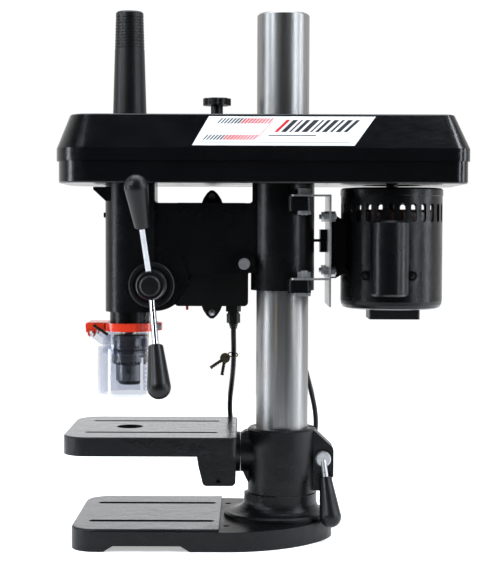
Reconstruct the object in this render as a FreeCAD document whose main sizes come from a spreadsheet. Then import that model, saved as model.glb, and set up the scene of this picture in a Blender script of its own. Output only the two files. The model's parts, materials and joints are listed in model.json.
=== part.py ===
import FreeCAD, Part
import math
import os
import Sketcher
from FreeCAD import Placement, Rotation, Vector

# A bench drill press. +Z is up, Z = 0 is the underside of the base, the column's axis is X = Y = 0.
# The spindle and the front of the base are towards -X, the motor is towards +X, and the feed
# handle is on the -Y side. All sizes are in millimetres.

SIZES = {
    # column and base
    "column_dia": 60, "column_wall": 3.5, "column_foot": 4, "column_top": 598.8,
    "base_left": -235, "tail_dia": 116, "tail_end_x": 50.7, "flank_x": -62.8, "flank_y": 34.8,
    "flank_dia": 259.6,
    "base_half": 95, "base_thick": 25, "base_skin": 10, "base_wall": 8, "base_corner": 28,
    "base_step_x": -71, "base_step_drop": 3, "bench_hole_x": -63, "bench_hole_y": 62,
    "bench_hole_dia": 7.5, "base_slot_y": 50, "base_slot_width": 10,
    "bell_dia": 108, "bell_shift": 13, "bell_low": 22, "bell_lip": 28, "neck_dia": 80.8, "neck_top": 50.4,
    # table and its bracket
    "table_top": 124.4, "table_thick": 21.1, "table_left": -245, "table_right": -52,
    "table_half": 84, "table_corner": 28, "table_slot_y": 45, "table_slot_width": 8,
    "table_hole_dia": 30, "hub_low": 59, "hub_half": 22,
    "tilt_z": 95.7, "tilt_flange_dia": 46, "tilt_face_x": -47.9,
    "collar_dia": 79, "collar_low": 50.7, "collar_top": 124.8, "liner_wall": 1.8,
    "lug_right": 59.4, "lug_half": 16, "clamp_x": 47.1, "clamp_z": 90.3,
    # head
    "spindle_x": -176, "head_low": 258.5, "head_top": 404, "housing_dia": 56,
    "sleeve_dia": 73, "sleeve_low": 283.6, "web_low": 303.4, "web_half": 22,
    "window_left": -145.5, "window_right": -35, "window_low": 383,
    "spigot_dia": 46, "spigot_low": 243, "quill_dia": 40, "quill_low": 240, "quill_top": 372,
    "pivot_x": 23.3, "pivot_y": -44, "lock_x": -44, "lock_z": 314,
    # feed
    "feed_x": -147, "feed_z": 291, "gear_module": 1.5, "gear_teeth": 14,
    "ring_dia": 50.8, "hub_dia": 31, "arm_reach": 120, "arm_lean": 6.5, "arm_cone": 23.5,
    "arm_dia": 7,
    # chuck and its guard
    "chuck_top": 232, "chuck_low": 174.3, "chuck_dia": 41.6, "nose_dia": 32.4, "jaw_angle": 15,
    "jaw_dia": 5, "jaw_travel": 17.8,
    "guard_hinge_x": -217.6, "guard_hinge_z": 234.5, "guard_ring_dia": 69.2,
    "guard_upper_dia": 62.8, "guard_lower_dia": 74, "guard_low": 162.7, "guard_skin": 1.8,
    # belt cover and drive
    "tray_left": -251.8, "tray_right": 203.4, "tray_half": 78, "lid_left": -254.2, "lid_right": 205.5,
    "lid_half": 80, "band_low": 428.5, "band_top": 442.4, "lid_top": 480.8, "lid_slope": 20, "lid_left_slope": 14.3,
    "lid_right_slope": 16,
    "cover_skin": 2.5, "knob_x": -76, "cap_top": 601, "pulley_low": 412.5, "step_height": 11,
    # motor and its plate
    "motor_x": 125.4, "motor_dia": 116.6, "motor_low": 263.3, "motor_top": 400.6,
    "plate_x": 51, "plate_thick": 2,
    # switch box and lead
    "box_left": -126, "box_right": -39.5, "box_low": 263, "box_top": 384, "box_near": 22.05,
    "box_far": 60, "gland_x": -57, "gland_y": 45, "lead_dia": 6,
}

doc = FreeCAD.newDocument("drill_press")
sheet = doc.addObject("Spreadsheet::Sheet", "Sizes")
for row, (alias, number) in enumerate(SIZES.items(), start=1):
    sheet.set(f"A{row}", alias)
    sheet.set(f"B{row}", str(number))
    sheet.setAlias(f"B{row}", alias)
doc.recompute()

nodes = []  # the sub-parts, in the order they are made


# ---- sizes ----

def text_of(number):
    """A size as it is written in an expression."""
    if isinstance(number, Dim):
        return number.text
    return f"({number:.6g})" if number < 0 else f"{number:.6g}"


class Dim(float):
    """A number that also knows the expression, in the sheet's names, that gives it."""

    def __new__(cls, value, text):
        made = super().__new__(cls, value)
        made.text = text
        return made

    def __add__(self, other):
        return Dim(float(self) + float(other), f"({text_of(self)} + {text_of(other)})")

    def __radd__(self, other):
        return Dim(float(other) + float(self), f"({text_of(other)} + {text_of(self)})")

    def __sub__(self, other):
        return Dim(float(self) - float(other), f"({text_of(self)} - {text_of(other)})")

    def __rsub__(self, other):
        return Dim(float(other) - float(self), f"({text_of(other)} - {text_of(self)})")

    def __mul__(self, other):
        return Dim(float(self) * float(other), f"({text_of(self)} * {text_of(other)})")

    __rmul__ = __mul__

    def __truediv__(self, other):
        return Dim(float(self) / float(other), f"({text_of(self)} / {text_of(other)})")

    def __neg__(self):
        return Dim(-float(self), f"(-{text_of(self)})")


def size(alias):
    """The sheet's cell with that alias."""
    return Dim(float(sheet.get(alias)), f"Sizes.{alias}")


def bind(thing, name, value):
    """Set a property, with an expression when the value comes from the sheet."""
    if isinstance(value, Dim):
        thing.setExpression(name, value.text)
    elif "." not in name:
        setattr(thing, name, float(value))


def seat(thing, x, y, z, rotation=Rotation()):
    """Place an object; coordinates that come from the sheet are bound to it."""
    thing.Placement = Placement(Vector(x, y, z), rotation)
    for axis, value in zip("xyz", (x, y, z)):
        bind(thing, f"Placement.Base.{axis}", value)
    return thing


def carry(thing, x, degrees):
    """Turn an object about the world's Z axis, then move it along X."""
    doc.recompute()
    for axis in "xyz":
        thing.setExpression(f"Placement.Base.{axis}", None)
    turn = Placement(Vector(x, 0, 0), Rotation(Vector(0, 0, 1), degrees))
    thing.Placement = turn.multiply(thing.Placement)
    return thing


# ---- sub-parts ----

def node(name, thing):
    """Give an object the label that names a sub-part's file."""
    if isinstance(thing, Part.Shape):
        shape, thing = thing, doc.addObject("Part::Feature", name)
        thing.Shape = shape
    thing.Label = name
    nodes.append(thing)
    return thing


# ---- primitives ----

def box(x0, x1, y0, y1, z0, z1):
    made = doc.addObject("Part::Box", "Block")
    for name, value in (("Length", x1 - x0), ("Width", y1 - y0), ("Height", z1 - z0)):
        bind(made, name, value)
    return seat(made, x0, y0, z0)


def rod(radius, start, end):
    """A cylinder from one point to another."""
    made = doc.addObject("Part::Cylinder", "Rod")
    bind(made, "Radius", radius)
    lay_along(made, start, end)
    return made


def hexagon(across, start, end):
    """A hexagonal bar, measured across its flats, from one point to another."""
    made = doc.addObject("Part::Prism", "Hexagon")
    made.Polygon = 6
    bind(made, "Circumradius", across / math.sqrt(3))
    lay_along(made, start, end)
    return made


def lay_along(made, start, end):
    """Give a round or hexagonal bar its height and its place between two points."""
    moved = [k for k in range(3) if abs(start[k] - end[k]) > 1e-9]
    way = Vector(*end) - Vector(*start)
    if len(moved) == 1:
        k = moved[0]
        bind(made, "Height", end[k] - start[k] if end[k] > start[k] else start[k] - end[k])
    else:
        made.Height = way.Length
    seat(made, *start, Rotation(Vector(0, 0, 1), way))


def sketch_in(body, role, name):
    """A sketch on one of a body's own origin planes."""
    made = body.newObject("Sketcher::SketchObject", name)
    plane = next(f for f in body.Origin.OriginFeatures if f.Role == role)
    made.AttachmentSupport = [(plane, "")]
    made.MapMode = "FlatFace"
    return made


def fix(sketch, line, end, u, v):
    """Hold one end of a line at its two coordinates."""
    for kind, axis, value in (("DistanceX", -2, u), ("DistanceY", -1, v)):
        if abs(value) < 1e-9:
            sketch.addConstraint(Sketcher.Constraint("PointOnObject", line, end, axis))
            continue
        if value > 0:
            held = Sketcher.Constraint(kind, -1, 1, line, end, float(value))
        else:
            held = Sketcher.Constraint(kind, line, end, -1, 1, -float(value))
        index = sketch.addConstraint(held)
        if isinstance(value, Dim):
            sketch.setExpression(f"Constraints[{index}]", (value if value > 0 else -value).text)


def draw(sketch, points):
    """A closed outline of straight lines through points, every corner held."""
    count = len(points)
    for i, (u, v) in enumerate(points):
        u2, v2 = points[(i + 1) % count]
        sketch.addGeometry(Part.LineSegment(Vector(u, v, 0), Vector(u2, v2, 0)), False)
    for i in range(count):
        sketch.addConstraint(Sketcher.Constraint("Coincident", i, 2, (i + 1) % count, 1))
    for i, (u, v) in enumerate(points):
        fix(sketch, i, 1, u, v)


def spun(points, centre=(0, 0, 0), axis=(0, 0, 1)):
    """A body turned about an axis through centre; points are (radius, height)."""
    body = doc.addObject("PartDesign::Body", "Turned")
    sketch = sketch_in(body, "XZ_Plane", "Profile")
    draw(sketch, points)
    turning = body.newObject("PartDesign::Revolution", "Turning")
    turning.Profile = sketch
    turning.ReferenceAxis = (sketch, ["V_Axis"])
    turning.Angle = 360
    return seat(body, *centre, Rotation(Vector(0, 0, 1), Vector(*axis)))


def prism(points, direction):
    """A polygon, given by its corners, pushed along one of the three axes."""
    k = next(i for i in range(3) if abs(direction[i]) > 1e-9)
    flat, role = ((1, 2), "YZ_Plane") if k == 0 else ((0, 2), "XZ_Plane") if k == 1 else (
        (0, 1), "XY_Plane")
    body = doc.addObject("PartDesign::Body", "Profiled")
    sketch = sketch_in(body, role, "Profile")
    draw(sketch, [(p[flat[0]], p[flat[1]]) for p in points])
    pad = body.newObject("PartDesign::Pad", "Push")
    pad.Profile = sketch
    length = direction[k]
    bind(pad, "Length", length if length > 0 else -length)
    # a sketch on the XZ plane faces -Y, so a push to +Y goes the other way
    pad.Reversed = (length > 0) == (k == 1)
    place = [0, 0, 0]
    place[k] = points[0][k]
    return seat(body, *place)


def plan(x0, x1, half, left_r, right_r, z0, z1):
    """A plate in plan with its own corner radius at each end, between two heights."""
    body = doc.addObject("PartDesign::Body", "Plate")
    sketch = sketch_in(body, "XY_Plane", "Plan")
    draw_plan(sketch, x0, x1, half, left_r, right_r)
    pad = body.newObject("PartDesign::Pad", "Push")
    pad.Profile = sketch
    bind(pad, "Length", z1 - z0)
    return seat(body, 0, 0, z0)


def draw_plan(sketch, x0, x1, half, left_r, right_r):
    """A rectangle with round corners: four lines held at their ends, and four arcs."""
    lines = [((x0 + left_r, -half), (x1 - right_r, -half)), ((x1, right_r - half), (x1, half - right_r)),
             ((x1 - right_r, half), (x0 + left_r, half)), ((x0, half - left_r), (x0, left_r - half))]
    for (a, b), (c, d) in lines:
        sketch.addGeometry(Part.LineSegment(Vector(a, b, 0), Vector(c, d, 0)), False)
    corners = [(x1 - right_r, right_r - half, right_r, -90), (x1 - right_r, half - right_r, right_r, 0),
               (x0 + left_r, half - left_r, left_r, 90), (x0 + left_r, left_r - half, left_r, 180)]
    for x, y, r, start in corners:
        circle = Part.Circle(Vector(x, y, 0), Vector(0, 0, 1), float(r))
        arc = Part.ArcOfCircle(circle, math.radians(start), math.radians(start + 90))
        sketch.addGeometry(arc, False)
    for i, ((a, b), (c, d)) in enumerate(lines):
        fix(sketch, i, 1, a, b)
        fix(sketch, i, 2, c, d)
    for i, (x, y, r, start) in enumerate(corners):
        sketch.addConstraint(Sketcher.Constraint("Coincident", 4 + i, 1, i, 2))
        sketch.addConstraint(Sketcher.Constraint("Coincident", 4 + i, 2, (i + 1) % 4, 1))
        index = sketch.addConstraint(Sketcher.Constraint("Radius", 4 + i, float(r)))
        if isinstance(r, Dim):
            sketch.setExpression(f"Constraints[{index}]", r.text)


def hood(low_plan, high_plan):
    """A body lofted between two round-cornered plans; each is (x0, x1, half, radii..., z)."""
    body = doc.addObject("PartDesign::Body", "Hood")
    sketches = []
    for *outline, z in (low_plan, high_plan):
        sketch = sketch_in(body, "XY_Plane", "Plan")
        bind(sketch, "AttachmentOffset.Base.z", z)
        draw_plan(sketch, *outline)
        sketches.append(sketch)
    loft = body.newObject("PartDesign::AdditiveLoft", "Slope")
    loft.Profile = sketches[0]
    loft.Sections = [sketches[1]]
    loft.Ruled = True
    return body


# ---- booleans and edges ----

def cut(base, *tools):
    for tool in tools:
        made = doc.addObject("Part::Cut", "Cut")
        made.Base, made.Tool, made.Refine = base, tool, True
        base = made
    return base


def joined(things):
    made = doc.addObject("Part::MultiFuse", "Join")
    made.Shapes = list(things)
    made.Refine = True
    return made


def common(base, tool):
    made = doc.addObject("Part::MultiCommon", "Overlap")
    made.Shapes = [base, tool]
    return made


def group(things):
    made = doc.addObject("Part::Compound", "Group")
    made.Links = list(things)
    return made


def eased(kind, thing, amount, wanted):
    """Round or bevel the edges whose bounding box passes a test."""
    doc.recompute()
    chosen = [i for i, e in enumerate(thing.Shape.Edges, start=1) if wanted(e.BoundBox)]
    if not chosen:
        raise RuntimeError(f"{thing.Label}: no edge to ease")
    made = doc.addObject(f"Part::{kind}", kind)
    made.Base = thing
    made.Edges = [(i, float(amount), float(amount)) for i in chosen]
    return made


def rounded(thing, radius, wanted):
    return eased("Fillet", thing, radius, wanted)


def bevelled(thing, width, wanted):
    return eased("Chamfer", thing, width, wanted)


def slot(x0, x1, y, width, z0, z1):
    """A slot along X with round ends, as a cutter."""
    r = width / 2
    return joined([box(x0 + r, x1 - r, y - r, y + r, z0, z1),
                   rod(r, (x0 + r, y, z0), (x0 + r, y, z1)),
                   rod(r, (x1 - r, y, z0), (x1 - r, y, z1))])


# ---- base and column ----

def make_base():
    """The cast foot: a hollow plate that tapers to the bell that carries the column."""
    left, half, thick, r = size("base_left"), size("base_half"), size("base_thick"), size("base_corner")
    flank_x, flank_y, flank_r = size("flank_x"), size("flank_y"), size("flank_dia") / 2
    wall, skin = size("base_wall"), size("base_skin")
    plates = []
    for inset, low, high in ((0, 0, thick), (wall, -1, thick - skin)):
        flanks = [rod(flank_r - inset, (flank_x, y, low), (flank_x, y, high)) for y in (flank_y, -flank_y)]
        plates.append(joined([
            plan(left + inset, flank_x, half - inset, r - inset, 1, low, high),
            common(common(*flanks), box(flank_x - 3, size("tail_end_x"), -120, 120, low, high)),
            rod(size("tail_dia") / 2 - inset, (0, 0, low), (0, 0, high)),
        ]))
    plate = rounded(plates[0], 3, lambda b: b.ZMin > thick - 0.01)
    plate = cut(plate, plates[1])
    step_x, drop = size("base_step_x"), size("base_step_drop")
    plate = cut(plate, box(step_x, 100, -120, 120, thick - drop, thick + 5))
    boss = rod(42, (0, 0, 0), (0, 0, size("bell_low")))
    bell_r, neck_r = size("bell_dia") / 2, size("neck_dia") / 2
    lip = size("bell_lip")
    curve = [(bell_r, size("bell_low") - 4), (bell_r, lip - 2), (bell_r - 2, lip)]
    sweep = bell_r - neck_r - 2
    for k in range(1, 7):
        a = math.pi / 2 * k / 6
        curve.append((neck_r + sweep * (1 - math.sin(a)), lip + 13 * (1 - math.cos(a))))
    bell = spun([(20, size("bell_low") - 4)] + curve + [(neck_r, size("neck_top") - 1),
                (neck_r - 1, size("neck_top")), (20, size("neck_top"))])
    toe = [(20, size("bell_low") - 4)] + curve[:3]
    for k in range(1, 7):
        a = math.pi / 2 * k / 6
        toe.append((30.6 + (bell_r - 32.6) * (1 - math.sin(a)), lip + 13 * (1 - math.cos(a))))
    toe = spun(toe + [(30.6, size("neck_top") - 2), (20, size("neck_top") - 2)], (-size("bell_shift"), 0, 0))
    ribs = [box(left + 4, -38, y - 3, y + 3, 4, thick - skin + 1) for y in (-20, 20)]
    ribs.append(box(-150, -144, 4 - half, half - 4, 8, thick - skin + 1))
    pads = [rod(9, (size("bench_hole_x"), y, 0), (size("bench_hole_x"), y, thick - skin + 1))
            for y in (-size("bench_hole_y"), size("bench_hole_y"))]
    casting = joined([plate, boss, bell, toe] + ribs + pads)
    casting = cut(casting, rod(size("column_dia") / 2 + 0.03, (0, 0, size("column_foot")), (0, 0, 80)))
    for y in (-size("base_slot_y"), size("base_slot_y")):
        casting = cut(casting, slot(-218, -77, y, size("base_slot_width"), -1, 40))
    for y in (-size("bench_hole_y"), size("bench_hole_y")):
        x = size("bench_hole_x")
        casting = cut(casting, rod(size("bench_hole_dia") / 2, (x, y, -1), (x, y, 40)))
    relief = prism([(-197, -100, -1), (-197, -100, 0.5), (-187, -100, 6.5), (-113, -100, 6.5),
                    (-103, -100, 0.5), (-103, -100, -1)], (0, 200, 0))
    node("base", cut(casting, relief))


def make_column():
    radius, top = size("column_dia") / 2, size("column_top")
    tube = cut(rod(radius, (0, 0, size("column_foot") + 0.03), (0, 0, top)),
               rod(radius - size("column_wall"), (0, 0, 0), (0, 0, top + 5)))
    node("column", bevelled(tube, 2, lambda b: b.ZMin > top - 0.01 and b.XLength > radius * 1.95))


# ---- table, bracket and clamp ----

def make_table():
    top, half = size("table_top"), size("table_half")
    low = top - size("table_thick")
    left, right, wall, skin, r = size("table_left"), size("table_right"), 6, 9, size("table_corner")
    plate = plan(left, right, half, r, 6, low, top)
    plate = bevelled(plate, 1.2, lambda b: b.ZMin > top - 0.01)
    plate = cut(plate, plan(left + wall, right - wall, half - wall, r - wall, 3, low - 1, top - skin))
    hole_r, centre_x = size("table_hole_dia") / 2, size("spindle_x")
    ring = rod(hole_r + 6, (centre_x, 0, low), (centre_x, 0, top - skin + 1))
    ribs = [box(left + 3, right - 3, y - 3, y + 3, low + 4, top - skin + 1) for y in (-25, 25)]
    hub_half, hub_low = size("hub_half"), size("hub_low")
    hub = prism([(-98, -hub_half, low + 1), (-97.5, -hub_half, 91), (-95.6, -hub_half, 80),
                 (-91.6, -hub_half, 64), (-90.6, -hub_half, hub_low), (-53.4, -hub_half, hub_low),
                 (-52.6, -hub_half, low + 1)], (0, 2 * hub_half, 0))
    hub = rounded(hub, 5, lambda b: b.ZMax < 60 and b.YLength > 40)
    flange = rod(size("tilt_flange_dia") / 2, (-56, 0, size("tilt_z")),
                 (size("tilt_face_x") - 0.15, 0, size("tilt_z")))
    casting = joined([plate, ring, hub, flange] + ribs)
    casting = cut(casting, box(-86, -62, -14, 14, 40, low + 6),
                  rod(hole_r, (centre_x, 0, 80), (centre_x, 0, 140)),
                  rod(6.3, (-75, 0, size("tilt_z")), (-30, 0, size("tilt_z"))),
                  rod(2.4, (-73, -30, 65), (-73, 1 - hub_half + 5, 65)))
    for y in (-size("table_slot_y"), size("table_slot_y")):
        casting = cut(casting, slot(-223, -73, y, size("table_slot_width"), 80, 140))
    node("table", casting)


def make_bracket():
    radius, low, top = size("collar_dia") / 2, size("collar_low"), size("collar_top")
    bore = size("column_dia") / 2 + size("liner_wall") + 0.16
    right, half = size("lug_right"), size("lug_half")
    lug = prism([(28, -half, low + 2.3), (28, -half, top - 2), (37, -half, top - 2), (right - 1, -half, 103),
                 (right, -half, 100), (right, -half, 70), (52, -half, 60), (44, -half, low + 2.3)],
                (0, 2 * half, 0))
    lug = rounded(lug, 3, lambda b: b.YLength > 30 and b.XMin > 43)
    face_x, tilt_z = size("tilt_face_x") + 0.15, size("tilt_z")
    arm = rod(size("tilt_flange_dia") / 2, (face_x, 0, tilt_z), (-20, 0, tilt_z))
    web = [(face_x + 0.5, -9, 82)]
    for k in range(7):
        a = math.pi / 2 * k / 6
        web.append((-36 - 11 * (1 - math.sin(a)), -9, 57 + 19 * (1 - math.sin(a)) ** 1.6 + 3 * math.cos(a)))
    web += [(-10, -9, 57), (-10, -9, 121), (-42, -9, 121), (face_x + 0.5, -9, 117)]
    barrel = bevelled(rod(radius, (0, 0, low), (0, 0, top)), 2, lambda b: b.ZMin > top - 0.01)
    casting = joined([barrel, lug, arm, prism(web, (0, 18, 0))])
    clamp_x, clamp_z = size("clamp_x"), size("clamp_z")
    casting = cut(casting, rod(bore, (0, 0, 0), (0, 0, 200)), box(20, 90, -1.5, 1.5, 0, 200),
                  rod(4.1, (clamp_x, -50, clamp_z), (clamp_x, 50, clamp_z)),
                  rod(6.1, (face_x - 5, 0, tilt_z), (-36.2, 0, tilt_z)))
    node("table_bracket", casting)
    node("tilt_bolt", joined([rod(6, (-63, 0, tilt_z), (-36.4, 0, tilt_z)),
                              hexagon(18, (-69.8, 0, tilt_z), (-62.1, 0, tilt_z))]))
    liner = rod(bore - 0.08, (0, 0, low + 1), (0, 0, top - 0.5))
    node("collar_liner", cut(liner, rod(size("column_dia") / 2 + 0.06, (0, 0, 0), (0, 0, 200)),
                             box(20, 40, -1.5, 1.5, 0, 200)))


def grip(start, way, length, narrow_r, wide_r):
    """A tapered grip with a round end; start is the middle of its narrow end."""
    ball = length - wide_r
    profile = [(0, 0), (narrow_r - 0.8, 0), (narrow_r, 0.8), (wide_r, ball)]
    for k in range(1, 10):
        a = math.pi / 2 * k / 9
        profile.append((max(wide_r * math.cos(a), 0), ball + wide_r * math.sin(a)))
    profile[-1] = (0, length)
    return spun(profile, start, way)


def make_clamp_handle():
    x, z, half = size("clamp_x"), size("clamp_z"), size("lug_half")
    head = spun([(0, 0), (9, 0), (9, 5), (7.5, 7), (0, 7)], (x, -half - 0.2, z), (0, -1, 0))
    shank = rod(4, (x, -half - 1, z), (x, half + 6, z))
    way = Vector(0.11, -0.35, -0.93).normalize()
    start = Vector(float(x), -20.0, float(z))
    arm = rod(3.4, start, start + way * 42)
    node("clamp_screw", joined([head, shank, arm]))
    knob = grip(start + way * 21.5, way, 57, 7, 12.4)
    node("clamp_knob", cut(knob, rod(3.45, start, start + way * 42.2)))


# ---- head ----

def make_head():
    top, low, half = size("head_top"), size("head_low"), size("web_half")
    x, feed_x, feed_z = size("spindle_x"), size("feed_x"), size("feed_z")
    housing = rod(size("housing_dia") / 2, (x, 0, low), (x, 0, top))
    shoulder = box(x, -146, -28, 21.9, low, top)
    web = box(-148, -30, -half, 21.9, size("web_low"), top)
    window = rounded(box(size("window_left"), size("window_right"), -40, 40, size("window_low"), 440),
                     3.5, lambda b: b.YLength > 70 and b.ZMax < top)
    sleeve = rod(size("sleeve_dia") / 2, (0, 0, size("sleeve_low")), (0, 0, top))
    cheek = rod(37, (feed_x + 2, -24, feed_z + 6), (feed_x + 2, 21.8, feed_z + 6))
    boss = rod(24, (feed_x, -46, feed_z), (feed_x, 0, feed_z))
    back_boss = rod(20, (feed_x, 0, feed_z), (feed_x, 30, feed_z))
    spigot = rod(size("spigot_dia") / 2, (x, 0, size("spigot_low")), (x, 0, low + 1))
    gusset = prism([(-216, -20, 401), (-216, -20, 398), (-202, -20, 385), (-190, -20, 385),
                    (-190, -20, 401)], (0, 40, 0))
    lock_x, lock_z = size("lock_x"), size("lock_z")
    lock_boss = rod(12, (lock_x, -26, lock_z), (lock_x, 20, lock_z))
    lugs = [rounded(box(5, 31, -54, -25, z0, z1), 6, lambda b: b.ZLength > 5 and b.YMax < -50)
            for z0, z1 in ((374, 390), (282.5, 296.6))]
    peg = rod(3, (-206, 0, 369), (-200, 0, 369))
    casting = joined([housing, shoulder, web, sleeve, cheek, boss, back_boss, spigot, gusset,
                      lock_boss, peg] + lugs)
    pivot_x, pivot_y = size("pivot_x"), size("pivot_y")
    pinion_r = size("gear_module") * (size("gear_teeth") + 2) / 2
    casting = cut(
        casting, window,
        rod(size("column_dia") / 2 + 0.03, (0, 0, 200), (0, 0, 450)),
        rod(size("quill_dia") / 2 + 0.05, (x, 0, 200), (x, 0, size("quill_top") + 1)),
        rod(20.05, (x, 0, 370), (x, 0, 450)),
        rod(8.1, (feed_x, -60, feed_z), (feed_x, 40, feed_z)),
        rod(pinion_r + 0.3, (feed_x, -14, feed_z), (feed_x, 14, feed_z)),
        rod(4.1, (lock_x, -40, lock_z), (lock_x, 15, lock_z)),
        rod(4.1, (pivot_x, pivot_y, 270), (pivot_x, pivot_y, 400)),
        box(lock_x + 5, -28, -1.5, 1.5, 280, 335),
    )
    node("head", casting)
    bolt = joined([rod(4, (lock_x, -27, lock_z), (lock_x, 14, lock_z)),
                   rod(6.6, (lock_x, -27.5, lock_z), (lock_x, -26.1, lock_z)),
                   hexagon(10, (lock_x, -32.5, lock_z), (lock_x, -27.4, lock_z))])
    node("head_lock_screw", cut(bolt, rod(2.4, (lock_x, -34, lock_z), (lock_x, -31.5, lock_z))))


# ---- feed ----

def make_quill():
    """The quill, with a rack cut across the side that faces the pinion."""
    x, radius = size("spindle_x"), size("quill_dia") / 2
    low, top, module = size("quill_low"), size("quill_top"), size("gear_module")
    tube = rod(radius, (x, 0, low), (x, 0, top))
    tube = cut(tube, rod(11.5, (x, 0, 200), (x, 0, 400)),
               rod(16.05, (x, 0, 200), (x, 0, low + 12)), rod(16.05, (x, 0, top - 12), (x, 0, 400)))
    pitch, lean = math.pi * module, math.tan(math.radians(20))
    line_x = float(size("feed_x")) - module * size("gear_teeth") / 2
    root_x, open_x, mouth_x = line_x - 1.9, line_x + 1.2, float(x + radius) + 2
    flat = box(open_x, mouth_x, -20, 20, 276, 358)
    gaps = []
    for k in range(-3, 14):
        z = float(size("feed_z")) + k * pitch
        root = pitch / 4 - 1.9 * lean + 0.08
        mouth = pitch / 4 + (mouth_x - line_x) * lean + 0.08
        gaps.append(prism([(root_x, -20, z - root), (mouth_x, -20, z - mouth),
                           (mouth_x, -20, z + mouth), (root_x, -20, z + root)], (0, 40, 0)))
    node("quill", cut(tube, flat, joined(gaps)))
    rings = [bearing(8.53, 16, low + 0.3, 11.4), bearing(8.53, 16, top - 11.7, 11.4)]
    node("quill_bearings", group(rings))
    node("pulley_bearings", group([bearing(10.03, 20, 374, 13), bearing(10.03, 20, 389, 13)]))


def bearing(inner_r, outer_r, z, width):
    """A ball bearing on the spindle's axis, with a step for its shields."""
    a, b = inner_r + 2, outer_r - 2
    points = [(inner_r, 0), (a, 0), (a, 1), (b, 1), (b, 0), (outer_r, 0), (outer_r, width), (b, width),
              (b, width - 1), (a, width - 1), (a, width), (inner_r, width)]
    return spun(points, (size("spindle_x"), 0, z))


def make_pinion():
    teeth, module = int(size("gear_teeth")), float(size("gear_module"))
    pitch_r = module * teeth / 2
    tip_r, root_r, base_r = pitch_r + module, pitch_r - 1.25 * module, pitch_r * math.cos(math.radians(20))
    half = math.pi / (2 * teeth) + math.tan(math.radians(20)) - math.radians(20) - 0.012

    def flank(radius):
        """Half the tooth's angle at a radius, on an involute."""
        a = math.acos(min(base_r / radius, 1))
        return half - (math.tan(a) - a)

    radii = [root_r, base_r, pitch_r - 0.2, pitch_r + 0.7, tip_r]
    outline = []
    for k in range(teeth):
        middle = 2 * math.pi * k / teeth + math.pi
        side = [(r, middle - flank(r)) for r in radii] + [(r, middle + flank(r)) for r in radii[::-1]]
        outline += [Vector(r * math.cos(a), 0, r * math.sin(a)) for r, a in side]
    gear = Part.Face(Part.makePolygon(outline + outline[:1])).extrude(Vector(0, 26, 0))
    x, z = size("feed_x"), size("feed_z")
    gear.translate(Vector(x, -13, z))
    shaft = Part.makeCylinder(8, 128, Vector(x, -78, z), Vector(0, 1, 0))
    node("pinion_shaft", gear.fuse(shaft).removeSplitter())


def make_handle():
    x, z, hub_r = size("feed_x"), size("feed_z"), size("hub_dia") / 2
    hub = spun([(8.05, 0), (17, 0), (17, 12), (hub_r + 0.5, 13), (hub_r + 0.5, 26), (hub_r - 1, 30),
                (8.05, 30)], (x, -50, z), (0, -1, 0))
    lean, cone = math.radians(size("arm_lean")), math.radians(size("arm_cone"))
    arm_r, root = size("arm_dia") / 2, Vector(float(x), -68.0, float(z))
    reach = size("arm_reach") / math.cos(cone)
    arms, knobs = [], []
    for side in (1, -1):
        way = Vector(-math.sin(lean) * side * math.cos(cone), -math.sin(cone),
                     math.cos(lean) * side * math.cos(cone))
        hub = cut(hub, rod(arm_r + 0.03, root + way * 10, root + way * 40))
        arms.append(rod(arm_r, root + way * 10.3, root + way * (reach - 16)))
        knob = grip(root + way * (reach - 60), way, 60, 8.25, 13)
        knobs.append(cut(knob, rod(arm_r + 0.03, root + way * 5, root + way * (reach - 15.8))))
    node("feed_hub", hub)
    node("feed_rods", group(arms))
    node("feed_knobs", group(knobs))
    node("feed_cap", spun([(0, 0), (11.5, 0), (11.5, 2.4), (9.5, 4), (0, 4.6)], (x, -80.1, z), (0, -1, 0)))
    ring_r = size("ring_dia") / 2
    node("depth_ring", spun([(17.4, 0), (ring_r - 1, 0), (ring_r, 1), (ring_r, 11), (ring_r - 1, 12),
                             (21, 12), (21, 9), (17.4, 9)], (x, -48, z), (0, -1, 0)))
    node("spring_housing", cut(rounded(rod(20, (x, 30.1, z), (x, 52, z)), 1.5, lambda b: b.YMin > 51),
                               rod(17.6, (x, 20, z), (x, 50, z))))
    inner, gap, strip = 9.0, 2.1, 1.0
    steps = 24 * 4
    spiral = [(inner + gap * k / 24, 2 * math.pi * k / 24) for k in range(steps - 12)]
    points = [(r * math.cos(a), r * math.sin(a)) for r, a in spiral]
    points += [((r + strip) * math.cos(a), (r + strip) * math.sin(a)) for r, a in spiral[::-1]]
    wire = Part.makePolygon([Vector(x + u, 32, z + v) for u, v in points + points[:1]])
    node("return_spring", Part.Face(wire).extrude(Vector(0, 14, 0)))


# ---- spindle and chuck ----

def make_spindle():
    x, low = size("spindle_x"), size("quill_low")
    shaft = spun([(0, 214.2), (7.2, 214.2), (7.95, 232.3), (11, 232.5), (11, low - 0.6), (8.5, low - 0.6),
                  (8.5, low + 12), (8, low + 13), (8, 359), (8.5, 360), (8.5, 373), (7, 374), (7, 539),
                  (6, 540), (0, 540)], (x, 0, 0))
    grooves = [carry(box(6, 8, -1, 1, 390, 600), x, 60 * k) for k in range(6)]
    node("spindle", cut(shaft, group(grooves)))


def jaw_place(k):
    """A jaw's outward direction, its travel inwards and down, and where its tip starts."""
    around, lean = math.radians(90 + 120 * k), math.radians(size("jaw_angle"))
    out = Vector(math.cos(around), math.sin(around), 0)
    way = out * -math.sin(lean) - Vector(0, 0, math.cos(lean))
    return out, way, Vector(float(size("spindle_x")), 0, 176.4) + out * 6.5


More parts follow.
